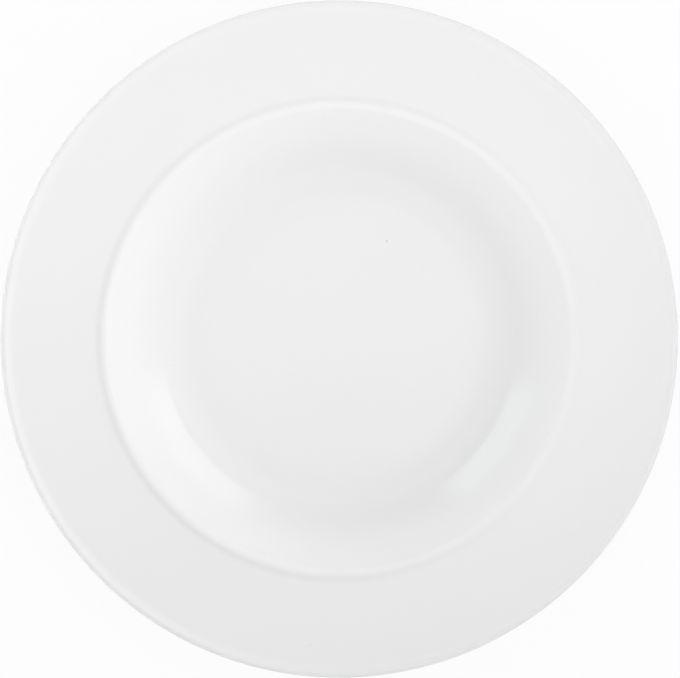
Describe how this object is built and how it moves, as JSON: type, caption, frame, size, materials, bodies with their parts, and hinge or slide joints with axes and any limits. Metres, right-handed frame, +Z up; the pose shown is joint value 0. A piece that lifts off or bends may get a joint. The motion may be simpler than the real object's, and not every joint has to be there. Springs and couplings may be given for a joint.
{
  "type": "rimmed soup plate",
  "caption": "Round white porcelain soup plate with a wide dished rim, a fine ridge around a deep well with a sloping wall, an upturned lip and a foot ring wiped bare of glaze.",
  "frame": {"origin": "on the table, at the centre of the foot ring", "axes": "+Z up along the plate's axis of rotation; X and Y lie in the table and are interchangeable"},
  "size_m": [0.23, 0.23, 0.0359],
  "materials": {
    "bare_porcelain": "unglazed fired porcelain, polished smooth on the foot ring, matt",
    "white_glaze": "clear glaze over white porcelain, glossy"
  },
  "bodies": {
    "root": {"porcelain_body": "bare_porcelain", "face_glaze": "white_glaze", "base_glaze": "white_glaze"}
  },
  "joints": []
}
